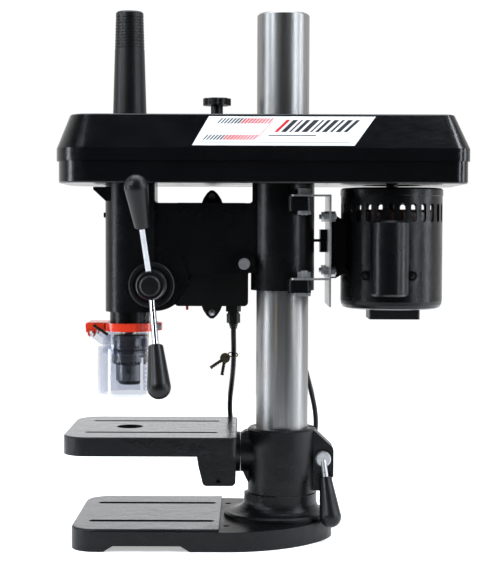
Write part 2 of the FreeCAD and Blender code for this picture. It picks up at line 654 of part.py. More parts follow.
def make_chuck():
    x, top, low = size("spindle_x"), size("chuck_top"), size("chuck_low")
    r, nose = size("chuck_dia") / 2, size("nose_dia") / 2
    body = spun([(5, low), (12, low), (nose, 179), (nose, 196.8), (15.5, 197.2), (15.5, 215),
                 (r - 0.6, 215), (r, 215.6), (r, 218.6), (r - 0.4, 219), (r - 0.4, 226), (r, 226.4),
                 (r, top - 1.5), (r - 1.5, top), (8.1, top), (7.25, 214), (5, 214)], (x, 0, 0))
    for k in range(3):
        out, way, tip = jaw_place(k)
        body = cut(body, rod(size("jaw_dia") / 2 + 0.3, tip + way * 8, tip - way * 20.5))
        key = Vector(float(x), 0, 191) - out * 17
        body = cut(body, rod(3.25, key, key + out * 6))
    node("chuck_body", body)
    sleeve = spun([(15.9, 197.5), (r - 2, 197.5), (r, 200.8), (r, 206.6), (r - 0.7, 207), (r - 0.7, 208.2),
                   (r, 208.6), (r, 211.4), (r - 0.7, 211.8), (r - 0.7, 213), (r, 213.4), (r, 214),
                   (r - 0.6, 214.6), (15.9, 214.6)], (x, 0, 0))
    teeth = 32
    notches = []
    for k in range(teeth):
        notch = prism([(17.2, -1.2, 196), (17.2, 1.2, 196), (22, 1.2, 196), (22, -1.2, 196)], (0, 0, 5.2))
        notches.append(carry(notch, x, 360 * k / teeth))
    node("chuck_sleeve", cut(sleeve, group(notches)))
    jaw_r, travel = float(size("jaw_dia")) / 2, float(size("jaw_travel"))
    for k, letter in enumerate("abc"):
        out, way, tip = jaw_place(k)
        across = Vector(-out.y, out.x, 0)
        axis = Vector(float(x), 0, 130)
        corners = [axis + out * 0.7, axis + out * 10.7 + across * 16, axis + out * 10.7 - across * 16]
        wedge = Part.Face(Part.makePolygon(corners + corners[:1])).extrude(Vector(0, 0, 80))
        closed = Part.makeCylinder(jaw_r, 18.6, tip + way * travel, -way)
        jaw = closed.common(wedge)
        jaw.translate(way * -travel)
        node(f"chuck_jaw_{letter}", jaw)


# ---- chuck guard ----

def make_guard():
    x, hinge_x, hinge_z = size("spindle_x"), size("guard_hinge_x"), size("guard_hinge_z")
    ring = rod(size("guard_ring_dia") / 2, (x, 0, 236.6), (x, 0, 245.7))
    tab = rounded(box(-225, -200, -19, 19, 237.6, 246.4), 3, lambda b: b.YLength > 30 and b.XMax < -220)
    tail = box(-146, -139, -8, 8, 237, 245.4)
    hooks = [rod(4.6, (hinge_x, y, hinge_z), (hinge_x, y + 5, hinge_z)) for y in (-24, 19)]
    posts = [box(-224, -212, y, y + 5, hinge_z + 1, 246) for y in (-24, 19)]
    bridges = [box(-222, -203, y, y + 5, 239, 245.7) for y in (-24, 19)]
    clip = joined([ring, tab, tail] + hooks + posts + bridges)
    clip = cut(clip, rod(size("spigot_dia") / 2 + 0.03, (x, 0, 200), (x, 0, 250)),
               box(-156, -130, -1, 1, 230, 250),
               box(-147, -130, 8.02, 13, 230, 250), box(-147, -130, -13, -8.02, 230, 250),
               rod(2.75, (hinge_x, -40, hinge_z), (hinge_x, 40, hinge_z)),
               box(hinge_x - 1.9, hinge_x + 1.9, -40, 40, 220, hinge_z),
               rod(2.1, (-142.4, -30, 241), (-142.4, 30, 241)))
    node("guard_ring", clip)
    node("guard_ring_screw", joined([rod(2.05, (-142.4, -9, 241), (-142.4, 9, 241)),
                                     rod(3.4, (-142.4, -10.6, 241), (-142.4, -8.05, 241)),
                                     hexagon(6, (-142.4, 8.05, 241), (-142.4, 11, 241))]))
    skin = size("guard_skin")
    upper_r, lower_r, low = size("guard_upper_dia") / 2, size("guard_lower_dia") / 2, size("guard_low")
    shell = spun([(upper_r - skin, 211), (upper_r, 211), (upper_r, 233), (upper_r - skin, 233)], (x, 0, 0))
    shell = common(shell, box(-240, -156, -60, 60, 150, 260))
    arms = [prism([(-220, y, hinge_z - 2), (-220, y, hinge_z + 2), (-216, y, hinge_z + 2.3),
                   (-196, y, 233), (-191, y, 222), (-206, y, 222)], (0, 2.4, 0))
            for y in (-26.8, 24.4)]
    pins = [rod(2.4, (hinge_x, y, hinge_z), (hinge_x, y + 12, hinge_z)) for y in (-26.8, 14.8)]
    guides = cut(box(-166, -152, -39, -27.5, 221, 230), box(-161.6, -153.6, -37.6, -35.1, 210, 240),
                 rod(29.7, (x, 0, 200), (x, 0, 240)))
    node("guard_upper", joined([shell, guides] + arms + pins))
    lower = spun([(lower_r - skin, low), (lower_r, low), (lower_r, 217), (lower_r - skin, 217)], (x, 0, 0))
    lower = common(lower, box(-240, -158, -60, 60, 150, 260))
    lower = cut(lower, box(-168, -150, -45, 0, 210, 220))
    strip = box(-161.2, -154, -37.3, -35.5, 166, 259)
    tie = cut(box(-161.2, -158, -36, -31.5, 166, 208), rod(lower_r - skin, (x, 0, 150), (x, 0, 220)))
    notches = [box(-155.4, -150, -40, -30, 172 + 5 * k, 174 + 5 * k) for k in range(17)]
    node("guard_lower", joined([lower, cut(strip, group(notches)), tie]))
    start, end = Vector(-215, -29.2, 244), Vector(-200, -29.2, 234)
    node("guard_lever", joined([rod(1.7, start, end), rod(1.7, end, (-200, -26.9, 234))]))


# ---- belt cover ----

def make_cover():
    left, right, half, skin = size("tray_left"), size("tray_right"), size("tray_half"), size("cover_skin")
    low, high, x, motor, knob = (size("head_top"), size("band_low"), size("spindle_x"),
                                 size("motor_x"), size("knob_x"))
    tray = bevelled(plan(left, right, half, 38, 18, low, high), 1.5, lambda b: b.ZMax < low + 0.01)
    tray = cut(tray, plan(left + skin, right - skin, half - skin, 35.5, 15.5, low + skin, high + 5),
               rod(31, (0, 0, 380), (0, 0, 420)), rod(30, (x, 0, 380), (x, 0, 420)),
               rod(34, (motor, 0, 380), (motor, 0, 420)),
               rod(3.1, (2, 55, 380), (2, 55, 420)))
    node("belt_tray", tray)
    node("lid_stud", joined([rod(4, (knob, 0, low + skin + 0.05), (knob, 0, 490)),
                             rod(9, (knob, 0, low + skin + 0.05), (knob, 0, low + skin + 3)),
                             hexagon(13, (knob, 0, low + skin + 2.9), (knob, 0, low + skin + 9))]))
    left, right, half, slope = size("lid_left"), size("lid_right"), size("lid_half"), size("lid_slope")
    middle, top = size("band_top"), size("lid_top")
    left_slope, right_slope = size("lid_left_slope"), size("lid_right_slope")
    outside = joined([
        plan(left, right, half, 40, 20, high, middle),
        hood((left, right, half, 40, 20, middle),
             (left + left_slope, right - right_slope, half - slope, 29, 13, top)),
    ])
    outside = rounded(outside, 2.5, lambda b: b.ZMin > top - 0.01)
    inside = joined([
        plan(left + 2, right - 2, half - 2, 38, 18, high - 5, middle),
        hood((left + 2, right - 2, half - 2, 38, 18, middle),
             (left + left_slope + 2, right - right_slope - 2, half - slope - 2, 27, 11, top - 2.2)),
    ])
    lid = cut(outside, inside, rod(31, (0, 0, 420), (0, 0, 500)), rod(17.6, (x, 0, 450), (x, 0, 500)),
              rod(4.3, (knob, 0, 450), (knob, 0, 500)))
    for side in (-22, 22):
        lid = cut(lid, rod(1.6, (x + side, 0, 450), (x + side, 0, 500)))
    node("belt_lid", lid)


def make_spindle_cap():
    x, low, top = size("spindle_x"), size("lid_top") + 0.05, size("cap_top")
    foot_r, tip_r = 19.3, 15.7
    slope = (foot_r - tip_r) / (top - low)
    outline = [(26, low), (26, low + 1.6), (25, low + 2.4), (foot_r - 2.4 * slope, low + 2.4)]
    for k in range(11):
        z = top - 42 + 3.4 * k
        r = foot_r - (z - low) * slope
        outline += [(r, z), (r - 0.55, z + 0.3), (r - 0.55, z + 1.3), (r, z + 1.6)]
    outline += [(tip_r, top - 1.5), (tip_r - 1.5, top), (0, top), (0, top - 2), (tip_r - 2, top - 2),
                (foot_r - 1.8, low)]
    cap = spun(outline, (x, 0, 0))
    for side in (-22, 22):
        cap = cut(cap, rod(1.6, (x + side, 0, 460), (x + side, 0, 490)))
    node("spindle_cap", cap)
    heads = [spun([(0, -6), (1.5, -6), (1.5, 0), (2.6, 0), (2.4, 1.2), (1.5, 2), (0, 2.3)],
                  (x + side, 0, low + 2.45)) for side in (-22, 22)]
    node("cap_screws", group(heads))


def make_lid_knob():
    x, low = size("knob_x"), size("lid_top") + 0.3
    head = rod(16.2, (x, 0, 495), (x, 0, 503))
    for k in range(7):
        a = 2 * math.pi * (k + 0.5) / 7
        spot = (float(x) + 20.6 * math.cos(a), 20.6 * math.sin(a))
        head = cut(head, rod(6, (*spot, 480), (*spot, 520)))
    head = bevelled(head, 0.8, lambda b: b.ZMin > 502.9)
    stem = spun([(0, low), (8.5, low), (8.5, low + 2), (7, low + 3), (7, 496), (0, 496)], (x, 0, 0))
    node("lid_knob", cut(joined([head, stem]), rod(4.08, (x, 0, 470), (x, 0, 491))))


# ---- drive ----

STEPS = [52, 46, 40, 34, 28]  # outer radius of each pulley step, from the widest
GROOVE_DEPTH, GROOVE_TOP, GROOVE_FOOT = 7.5, 4.8, 2.6


def pulley(name, radii, x, bore, stem=()):
    z0, step = size("pulley_low"), size("step_height")
    points = list(stem) or [(bore, z0)]
    points.append((radii[0], z0))
    for i, r in enumerate(radii):
        middle = z0 + (i + 0.5) * step
        points += [(r, middle - GROOVE_TOP), (r - GROOVE_DEPTH, middle - GROOVE_FOOT),
                   (r - GROOVE_DEPTH, middle + GROOVE_FOOT), (r, middle + GROOVE_TOP)]
        edge = z0 + (i + 1) * step
        points.append((r, edge))
        if i + 1 < len(radii):
            points.append((radii[i + 1], edge))
    points.append((bore, z0 + len(radii) * step))
    node(name, spun(points, (x, 0, 0)))


def make_drive():
    x, motor = size("spindle_x"), size("motor_x")
    pulley("spindle_pulley", STEPS, x, 7.1,
           stem=[(7.1, 375), (10, 375), (10, 403.5), (11.5, 403.5), (11.5, size("pulley_low"))])
    pulley("motor_pulley", STEPS[::-1], motor, 7.03)
    middle = size("pulley_low") + 2.5 * size("step_height")
    outer, depth = 39.6, 6.0
    lean = (GROOVE_TOP - GROOVE_FOOT) / GROOVE_DEPTH
    wide = GROOVE_TOP - (STEPS[2] - outer) * lean - 0.35
    narrow = wide - depth * lean
    loops = []
    for r, low_half, side in ((outer, wide, 0), (outer - depth, narrow, 1)):
        loops.append((r, low_half, side))
    section = [(outer, middle - wide), (outer, middle + wide), (outer - depth, middle + narrow),
               (outer - depth, middle - narrow)]
    bends = []
    for at, keep_x0, keep_x1 in ((x, x - 60, x), (motor, motor, motor + 60)):
        bends.append(common(spun(section, (at, 0, 0)), box(keep_x0, keep_x1, -60, 60, 400, 480)))
    runs = [prism([(x, side * r, z) for r, z in section], (motor - x, 0, 0)) for side in (-1, 1)]
    node("drive_belt", joined(bends + runs))


# ---- motor ----

def make_motor():
    x, r, low, top = size("motor_x"), size("motor_dia") / 2, size("motor_low"), size("motor_top")
    shell = spun([(r - 2.5, low + 12.8), (r, low + 12.8), (r, 391.4), (r + 0.6, 392), (r + 0.6, top - 2),
                  (r - 1.4, top), (10, top), (10, top - 3), (r - 4.5, top - 3), (r - 4.5, 391),
                  (r - 2.5, 391)], (x, 0, 0))
    foot = joined([box(size("plate_x") + size("plate_thick") + 0.05, 54, -38, 38, 294, 373.5),
                   prism([(53, -22, 369), (60, -22, 369), (76, -22, 360), (76, -22, 307), (60, -22, 298),
                          (53, -22, 298)], (0, 44, 0))])
    foot = cut(foot, rod(r - 1, (x, 0, 250), (x, 0, 420)))
    body = joined([shell, foot])
    slots = []
    for k in range(28):
        slots.append(carry(rounded(box(r - 6, r + 4, -3.4, 3.4, 362, 383), 3.3,
                                   lambda b: b.XLength > 5), x, 360 * (k + 0.5) / 28))
    body = cut(body, group(slots))
    for y, z in MOTOR_BOLTS:
        body = cut(body, rod(3.1, (40, y, z), (66, y, z)))
    node("motor_shell", body)
    node("motor_end_bell", spun([(10, low), (r - 7, low), (r - 3, low + 1.4), (r - 0.8, low + 5),
                                 (r, low + 9), (r, low + 12.6), (r - 2.6, low + 12.6), (r - 2.6, low + 9),
                                 (r - 5, low + 4), (10, low + 4)], (x, 0, 0)))
    node("stator", spun([(27.5, 298), (r - 2.6, 298), (r - 2.6, 352), (r - 9, 352), (r - 9, 373),
                         (r - 12, 376), (31, 376), (27.5, 372)], (x, 0, 0)))
    core = spun([(0, 270), (7, 270), (7, 300), (27, 300), (27, 350), (7, 350), (7, 384), (14, 384),
                 (14, 392), (7, 392), (7, 472), (0, 472)], (x, 0, 0))
    blades = [carry(box(10, 46, -0.8, 0.8, 384, 393), x, 30 * k) for k in range(12)]
    node("rotor", joined([core] + blades))
    cx, cy = x - 8, -r
    wrap = rod(r + 0.05, (x, 0, 200), (x, 0, 450))
    dome = bevelled(rod(22, (cx, cy, 279.5), (cx, cy, 363.5)), 2.5, lambda b: b.ZLength < 1)
    ears = []
    for side in (-25.5, 25.5):
        y = -math.sqrt(float(r) ** 2 - (float(cx - x) + side) ** 2)
        ears.append(rod(5.5, (cx + side, y - 3.2, 302), (cx + side, y + 4, 302)))
    cover = cut(joined([dome] + ears), cut(rod(20, (cx, cy, 282), (cx, cy, 361)),
                                                   wrap), wrap)
    node("capacitor_cover", cover)
    heads = []
    for side in (-25.5, 25.5):
        y = -math.sqrt(float(r) ** 2 - (float(cx - x) + side) ** 2) - 3.25
        heads.append(spun([(0, 0), (3.4, 0), (2.8, 1.6), (0, 2.2)], (cx + side, y, 302), (0, -1, 0)))
    node("capacitor_screws", group(heads))
    terminal = rounded(box(98.6, 156, -25, 25, 251.2, low - 0.05), 3, lambda b: b.ZLength > 5)
    node("terminal_box", cut(terminal, box(101.6, 153, -22, 22, 253.6, 280)))


MOTOR_BOLTS = [(-31, 368), (-31, 305.6), (31, 368), (31, 305.6)]


def make_motor_plate():
    x0 = size("plate_x")
    x1 = x0 + size("plate_thick")
    pivot_x, pivot_y = size("pivot_x"), size("pivot_y")
    ears = [rounded(box(8, x1, -54, -37, z, z + 2), 5, lambda b: b.ZLength > 1 and b.XMax < 9)
            for z in (390.2, 296.8)]
    block = box(x0 - 7.6, x0 - 0.05, 2, 28, 327, 353.4)
    screw_z = 340.5
    plate = joined([box(x0, x1, -54, 40, 267, 392.2)] + ears)
    plate = cut(plate, rod(4.1, (pivot_x, pivot_y, 280), (pivot_x, pivot_y, 400)),
                rod(2.2, (30, 11, screw_z), (x1 + 1, 11, screw_z)))
    for y, z in MOTOR_BOLTS:
        plate = cut(plate, rod(3.1, (40, y, z), (60, y, z)))
    node("motor_plate", plate)
    node("tension_screw", joined([rod(1.7, (36.9, 11, screw_z), (x0 + 0.5, 11, screw_z)), block]))
    bolts = []
    for y, z in MOTOR_BOLTS:
        bolts.append(joined([rod(3, (x0 - 7.5, y, z), (60, y, z)),
                             hexagon(10, (x0 - 5, y, z), (x0 - 0.05, y, z)),
                             hexagon(10, (54.05, y, z), (59, y, z))]))
    node("motor_plate_bolts", group(bolts))
    pivots = []
    for foot, seat_z, head in ((369.4, 392.25, 399), (278.6, 298.85, 308)):
        nut = 374 if foot > 300 else 282.5
        pivots.append(joined([rod(4, (pivot_x, pivot_y, foot), (pivot_x, pivot_y, head - 1)),
                              hexagon(13, (pivot_x, pivot_y, seat_z), (pivot_x, pivot_y, min(head, seat_z + 6.7))),
                              hexagon(13, (pivot_x, pivot_y, nut - 4), (pivot_x, pivot_y, nut - 0.05))]))
    node("pivot_bolts", group(pivots))


# ---- switch box ----

def dome_ears(y0, y1):
    """The two ears above and below the box that its screws pass through."""
    ears = []
    for z, way in ((size("box_top"), 1), (size("box_low"), -1)):
        ears.append(prism([(-95, y0, z - way * 3), (-92, y0, z + way * 5), (-88, y0, z + way * 11),
                           (-84, y0, z + way * 14.5), (-80, y0, z + way * 14.5), (-76, y0, z + way * 11),
                           (-72, y0, z + way * 5), (-69, y0, z - way * 3)], (0, y1 - y0, 0)))
    return ears


def make_switch():
    left, right, low, top = size("box_left"), size("box_right"), size("box_low"), size("box_top")
    near, far, wall = size("box_near"), size("box_far"), 2.5
    case = rounded(box(left, right, near, far, low, top), 5, lambda b: b.YLength > 20)
    case = joined([case] + dome_ears(near, far))
    gland_x, gland_y = size("gland_x"), size("gland_y")
    holes = [rod(1.9, (-82, 0, z), (-82, 80, z)) for z in (low - 7.5, top + 7.5)]
    case = cut(case, box(left + wall, right - wall, near + wall, far + 1, low + wall, top - wall),
               rod(5, (gland_x, gland_y, low - 5), (gland_x, gland_y, low + 10)), *holes)
    node("switch_box", case)
    cover = rounded(box(left, right, far + 0.05, 63, low, top), 5, lambda b: 2 < b.YLength < 4)
    hinge_y, hinge_z = 67.2, 332
    ears = [box(a, a + 4, 62, hinge_y + 2.4, hinge_z - 2.6, hinge_z + 2.6) for a in (-128 + 3, -99)]
    cover = joined([cover] + dome_ears(far + 0.05, 63) + ears)
    cover = cut(cover, *holes, rod(1.45, (-130, hinge_y, hinge_z), (-90, hinge_y, hinge_z)),
                rod(11.4, (-65, 50, 330), (-65, 80, 330)))
    node("switch_box_cover", cover)
    screws = [joined([spun([(0, 0), (4, 0), (3.4, 1.4), (0, 2.2)], (-82, near - 0.05, z), (0, -1, 0)),
                      rod(1.85, (-82, near - 0.5, z), (-82, 62, z))]) for z in (low - 7.5, top + 7.5)]
    node("switch_screws", group(screws))
    node("start_button", rounded(rod(11, (-65, 55, 330), (-65, 67, 330)), 1.5, lambda b: b.YMin > 66))
    flap = joined([box(-119.6, -100.4, 66, 69, 262, hinge_z), box(-114.5, -111.5, 66, 69, 256, 270),
                   rod(2.2, (-119.6, hinge_y, hinge_z), (-100.4, hinge_y, hinge_z)),
                   rod(1.35, (-124.6, hinge_y, hinge_z), (-95.4, hinge_y, hinge_z)),
                   rod(8.5, (-110, 68, 296), (-110, 71.5, 296))])
    node("stop_flap", flap)
    gland = joined([hexagon(15.5, (gland_x, gland_y, low - 7.5), (gland_x, gland_y, low - 0.05)),
                    rod(6.8, (gland_x, gland_y, low - 11), (gland_x, gland_y, low - 7)),
                    hexagon(14, (gland_x, gland_y, 242), (gland_x, gland_y, low - 10)),
                    rod(4.9, (gland_x, gland_y, low - 1), (gland_x, gland_y, low + 7))])
    lead_r = size("lead_dia") / 2
    node("cable_gland", cut(gland, rod(lead_r + 0.03, (gland_x, gland_y, 230), (gland_x, gland_y, 280))))


# ---- lead and keys ----

# From the gland down behind the table, round the bottom of a hanging loop, and up behind the
# column and the head to the hole in the belt tray's floor.
LEAD_ROUTE = [
    (-57, 45, 262), (-57, 45, 231), (-56.5, 52, 210), (-57, 66, 190), (-59, 85, 168),
    (-62, 95, 143), (-61, 98, 115), (-50, 102, 86), (-22, 104, 66), (10, 103, 65),
    (35, 100, 79), (44, 96, 103), (44, 91, 126), (38.5, 81, 153), (31, 71, 180),
    (24, 64, 208), (16, 60, 240), (9, 58, 275), (5, 57, 312), (3, 56, 350),
    (2, 55.2, 380), (2, 55, 405),
]


def rounded_route(points):
    """Straight runs joined by tangent arcs, each as wide as its two runs allow."""
    points = [Vector(*p) for p in points]
    edges, radii, at = [], [], points[0]
    for before, corner, after in zip(points, points[1:], points[2:]):
        back, on = before - corner, after - corner
        turn = math.pi - back.getAngle(on)
        reach = 0.45 * min(back.Length, on.Length)
        radius = reach / math.tan(turn / 2)
        start = corner + back.normalize() * reach
        end = corner + on.normalize() * reach
        middle = corner + (back + on).normalize() * (radius / math.cos(turn / 2) - radius)
        edges.append(Part.LineSegment(at, start).toShape())
        edges.append(Part.Arc(start, middle, end).toShape())
        radii.append(radius)
        at = end
    edges.append(Part.LineSegment(at, points[-1]).toShape())
    return Part.Wire(edges), radii


def make_lead():
    radius = float(size("lead_dia")) / 2
    path, radii = rounded_route(LEAD_ROUTE)
    way = Vector(*LEAD_ROUTE[1]) - Vector(*LEAD_ROUTE[0])
    ring = Part.Wire(Part.Circle(Vector(*LEAD_ROUTE[0]), way, radius).toShape())
    tube = path.makePipeShell([ring], True, True)
    if tube.ShapeType != "Solid":
        tube = Part.Solid(tube.Shells[0])
    wanted = math.pi * radius ** 2 * path.Length
    print(f"lead: length {path.Length:.0f}, volume {tube.Volume:.0f}, section x length {wanted:.0f}")
    print("lead radii:", [round(r) for r in radii])
    node("motor_lead", tube)


def make_keys():
    """Two small keys on a ring that hangs round the lead."""
    centre = Vector(-57.6, 56.6, 203)
    ring = Part.makeTorus(5.6, 0.8, centre, Vector(0.1, -0.45, 1))
    keys = []
    for way, shift in ((Vector(-0.83, -0.1, -0.56), -1.3), (Vector(-0.17, -0.1, -0.985), 1.3)):
        way = way.normalize()
        side = Vector(0, 1, 0)
        across = way.cross(side)
        bow_at = centre + Vector(-9.4, shift - 1.2, -4)
        bow = Part.makeCylinder(6, 1.6, bow_at - side * 0.8, side)
        eye = bow_at - way * 3.6
        corners = [bow_at + across * 2 + way * 4, bow_at - across * 2 + way * 4,
                   bow_at - across * 2 + way * 21, bow_at + across * 2 + way * 21]
        blade = Part.Face(Part.makePolygon(corners + corners[:1])).extrude(side * 1.2)
        blade.translate(side * -0.6)
        key = bow.fuse(blade)
        for k in range(4):
            spot = bow_at + way * (9 + 3 * k) + across * 2.3
            key = key.cut(Part.makeCylinder(1, 4, spot - side * 2, side))
        keys.append(key.cut(Part.makeCylinder(1.5, 6, eye - side * 3, side)))
    node("switch_keys", Part.makeCompound([ring] + keys))


for make in (make_base, make_column, make_table, make_bracket, make_clamp_handle, make_head,
             make_quill, make_pinion, make_handle, make_spindle, make_chuck, make_guard, make_cover,
             make_spindle_cap, make_lid_knob, make_drive, make_motor, make_motor_plate, make_switch,
             make_lead, make_keys):
    make()

doc.recompute()
for thing in doc.Objects:
    if "Invalid" in thing.State or "Error" in thing.State:
        raise RuntimeError(f"{thing.Label} is {thing.State}")
labels = [thing.Label for thing in nodes]
if len(set(labels)) != len(labels) or len(labels) > 60:
    raise RuntimeError(f"{len(labels)} sub-parts: {sorted(labels)}")
os.makedirs("parts", exist_ok=True)
for thing in nodes:
    shape = thing.Shape
    if shape.isNull() or not shape.isValid() or not shape.Solids:
        raise RuntimeError(f"{thing.Label} has no sound shape")
    shape.exportStep(f"parts/{thing.Label}.step")
print(f"{len(nodes)} sub-parts written")
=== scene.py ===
"""The looks of a bench drill press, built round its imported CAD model. All lengths are in metres."""

import json
import math

import bpy
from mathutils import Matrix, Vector


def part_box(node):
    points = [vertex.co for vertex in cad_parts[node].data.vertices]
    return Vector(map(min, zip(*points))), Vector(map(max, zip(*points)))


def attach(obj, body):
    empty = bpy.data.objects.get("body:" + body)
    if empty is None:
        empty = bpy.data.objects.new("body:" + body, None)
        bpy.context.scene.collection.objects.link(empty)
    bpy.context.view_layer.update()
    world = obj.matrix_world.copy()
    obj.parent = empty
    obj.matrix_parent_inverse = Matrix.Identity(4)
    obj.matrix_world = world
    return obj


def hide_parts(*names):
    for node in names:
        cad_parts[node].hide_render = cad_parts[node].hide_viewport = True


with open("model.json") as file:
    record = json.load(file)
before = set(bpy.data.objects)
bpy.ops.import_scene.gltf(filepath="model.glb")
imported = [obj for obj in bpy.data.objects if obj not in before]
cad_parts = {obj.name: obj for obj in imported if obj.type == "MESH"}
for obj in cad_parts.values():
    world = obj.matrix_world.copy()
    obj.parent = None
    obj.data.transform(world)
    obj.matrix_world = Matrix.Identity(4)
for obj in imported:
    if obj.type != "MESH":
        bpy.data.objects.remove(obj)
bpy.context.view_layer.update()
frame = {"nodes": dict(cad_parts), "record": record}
nodes = frame["nodes"]
scene = bpy.context.scene


# ---- camera ----

FOCAL_LENGTH = 85.07  # mm, on Blender's own 36 mm sensor
CAMERA_PLACE = (-0.0376, -1.562, 0.3554)
CAMERA_DOWN, CAMERA_ROLL = 2.5, -0.18  # degrees

lens = bpy.data.cameras.new("camera")
lens.lens = FOCAL_LENGTH
camera = bpy.data.objects.new("camera", lens)
camera.location = CAMERA_PLACE
camera.rotation_euler = (math.radians(90 - CAMERA_DOWN), math.radians(CAMERA_ROLL), 0)
scene.collection.objects.link(camera)
scene.camera = camera


# ---- shader helpers ----

class Shader:
    """A node tree with one Principled shader, and short ways to add to it."""

    def __init__(self, name, color, rough, metal=0.0, **sockets):
        self.material = bpy.data.materials.new(name)
        self.material.use_nodes = True
        self.tree = self.material.node_tree
        self.main = self.tree.nodes["Principled BSDF"]
        self.set("Base Color", (*color, 1))
        self.set("Roughness", rough)
        self.set("Metallic", metal)
        for socket, value in sockets.items():
            self.set(socket.replace("_", " "), value)
        self.place = self.tree.nodes.new("ShaderNodeTexCoord").outputs["Object"]

    def set(self, socket, value):
        self.main.inputs[socket].default_value = value

    def link(self, source, target):
        self.tree.links.new(source, target)

    def stretch(self, x, y, z):
        """Coordinates scaled along the three axes, for grain that runs one way."""
        node = self.tree.nodes.new("ShaderNodeMapping")
        node.inputs["Scale"].default_value = (x, y, z)
        self.link(self.place, node.inputs["Vector"])
        return node.outputs["Vector"]

    def noise(self, scale, detail=4.0, rough=0.55, where=None):
        """Soft random patches, about 1 / scale metres across."""
        node = self.tree.nodes.new("ShaderNodeTexNoise")
        node.inputs["Scale"].default_value = scale
        node.inputs["Detail"].default_value = detail
        node.inputs["Roughness"].default_value = rough
        self.link(where or self.place, node.inputs["Vector"])
        return node.outputs["Fac"]

    def spread(self, value, low, high, to_low=0.0, to_high=1.0):
        """Map a value's range onto another, held at its ends."""
        node = self.tree.nodes.new("ShaderNodeMapRange")
        for socket, number in zip(("From Min", "From Max", "To Min", "To Max"),
                                  (low, high, to_low, to_high)):
            node.inputs[socket].default_value = number
        self.link(value, node.inputs["Value"])
        return node.outputs["Result"]

    def calc(self, kind, a, b):
        """One sum; a and b are numbers or sockets."""
        node = self.tree.nodes.new("ShaderNodeMath")
        node.operation = kind
        for socket, value in zip(node.inputs, (a, b)):
            if isinstance(value, (int, float)):
                socket.default_value = value
            else:
                self.link(value, socket)
        return node.outputs["Value"]

    def coordinate(self, axis):
        """Where the point is along an axis of the object, in metres."""
        node = self.tree.nodes.new("ShaderNodeSeparateXYZ")
        self.link(self.place, node.inputs["Vector"])
        return node.outputs[axis]

    def facing(self, axis):
        """How far the surface faces along an axis of the object."""
        geometry = self.tree.nodes.new("ShaderNodeNewGeometry")
        node = self.tree.nodes.new("ShaderNodeSeparateXYZ")
        self.link(geometry.outputs["Normal"], node.inputs["Vector"])
        return node.outputs[axis]

    def mix(self, factor, a, b):
        """A colour between a and b; each is a colour or a socket."""
        node = self.tree.nodes.new("ShaderNodeMix")
        node.data_type = "RGBA"
        self.link(factor, node.inputs["Factor"])
        for socket, value in ((node.inputs[6], a), (node.inputs[7], b)):
            if isinstance(value, tuple):
                socket.default_value = (*value, 1)
            else:
                self.link(value, socket)
        return node.outputs[2]

    def color(self, source):
        self.link(source, self.main.inputs["Base Color"])

    def rough(self, source):
        self.link(source, self.main.inputs["Roughness"])

    def bump(self, height, depth, strength=1.0):
        """Raise the surface by height times depth, in metres, over any bump already there."""
        node = self.tree.nodes.new("ShaderNodeBump")
        node.inputs["Strength"].default_value = strength
        node.inputs["Distance"].default_value = depth
        self.link(height, node.inputs["Height"])
        before = self.main.inputs["Normal"]
        if before.is_linked:
            self.link(before.links[0].from_socket, node.inputs["Normal"])
        self.link(node.outputs["Normal"], before)


def tone(color, factor):
    """A colour made lighter or darker."""
    return tuple(min(1.0, c * factor) for c in color)


def paint(name, color, rough, grain, grain_depth, dust=(0.2, 0.19, 0.18), gloss=0.0):
    """Paint with uneven tone, a fine texture, and a little pale dust on what faces up."""
    s = Shader(name, color, rough, Coat_Weight=gloss, Coat_Roughness=0.12, Specular_IOR_Level=0.2)
    patches = s.noise(9, 5)
    body = s.mix(s.spread(patches, 0.3, 0.7), tone(color, 0.8), tone(color, 1.3))
    dusty = s.calc("MULTIPLY", s.spread(s.noise(60, 8, 0.7), 0.55, 0.8, 0, 0.35),
                   s.spread(s.facing("Z"), 0.2, 1.0))
    s.color(s.mix(dusty, body, dust))
    s.rough(s.spread(s.noise(22, 6), 0.25, 0.75, rough - 0.07, rough + 0.09))
    s.bump(s.noise(grain, 3, 0.6), grain_depth)
    s.bump(s.noise(grain * 0.12, 2), grain_depth * 2.2)
    return s


# ---- materials ----

def cast_paint(name, machined_above=None, machined_until=None, shine=0.16):
    """Thick dark paint over sand-cast iron; faces at machined_above are milled and bare."""
    s = paint(name, (0.0034, 0.0035, 0.004), 0.3, 520, 0.0003, dust=(0.04, 0.04, 0.042))
    if machined_above is None:
        return s.material
    up = s.spread(s.facing("Z"), 0.9, 0.97)
    high = s.spread(s.coordinate("Z"), machined_above - 0.0009, machined_above - 0.0004)
    bare = s.calc("MULTIPLY", up, high)
    if machined_until is not None:
        bare = s.calc("MULTIPLY", bare, s.spread(s.coordinate("X"), machined_until,
                                                 machined_until + 0.0005, 1, 0))
    cutter = s.noise(14, 3, 0.5, s.stretch(1, 40, 1))
    # painted reflection: the bare metal's two colours carry a blue cast that stands in for a blue
    # reflection; their grey and the cutter marks are the metal's own
    metal = s.mix(s.spread(cutter, 0.3, 0.7), (0.10, 0.107, 0.118), (0.155, 0.165, 0.182))
    stain = s.spread(s.noise(18, 6, 0.65), 0.58, 0.75, 0, 0.5)
    metal = s.mix(stain, metal, (0.075, 0.07, 0.062))
    under = s.main.inputs["Base Color"].links[0].from_socket
    s.color(s.mix(bare, under, metal))
    s.link(s.calc("MULTIPLY", bare, 0.85), s.main.inputs["Metallic"])
    rough = s.main.inputs["Roughness"].links[0].from_socket
    node = s.tree.nodes.new("ShaderNodeMix")
    s.link(bare, node.inputs["Factor"])
    s.link(rough, node.inputs[2])
    node.inputs[3].default_value = shine
    s.rough(node.outputs[0])
    return s.material


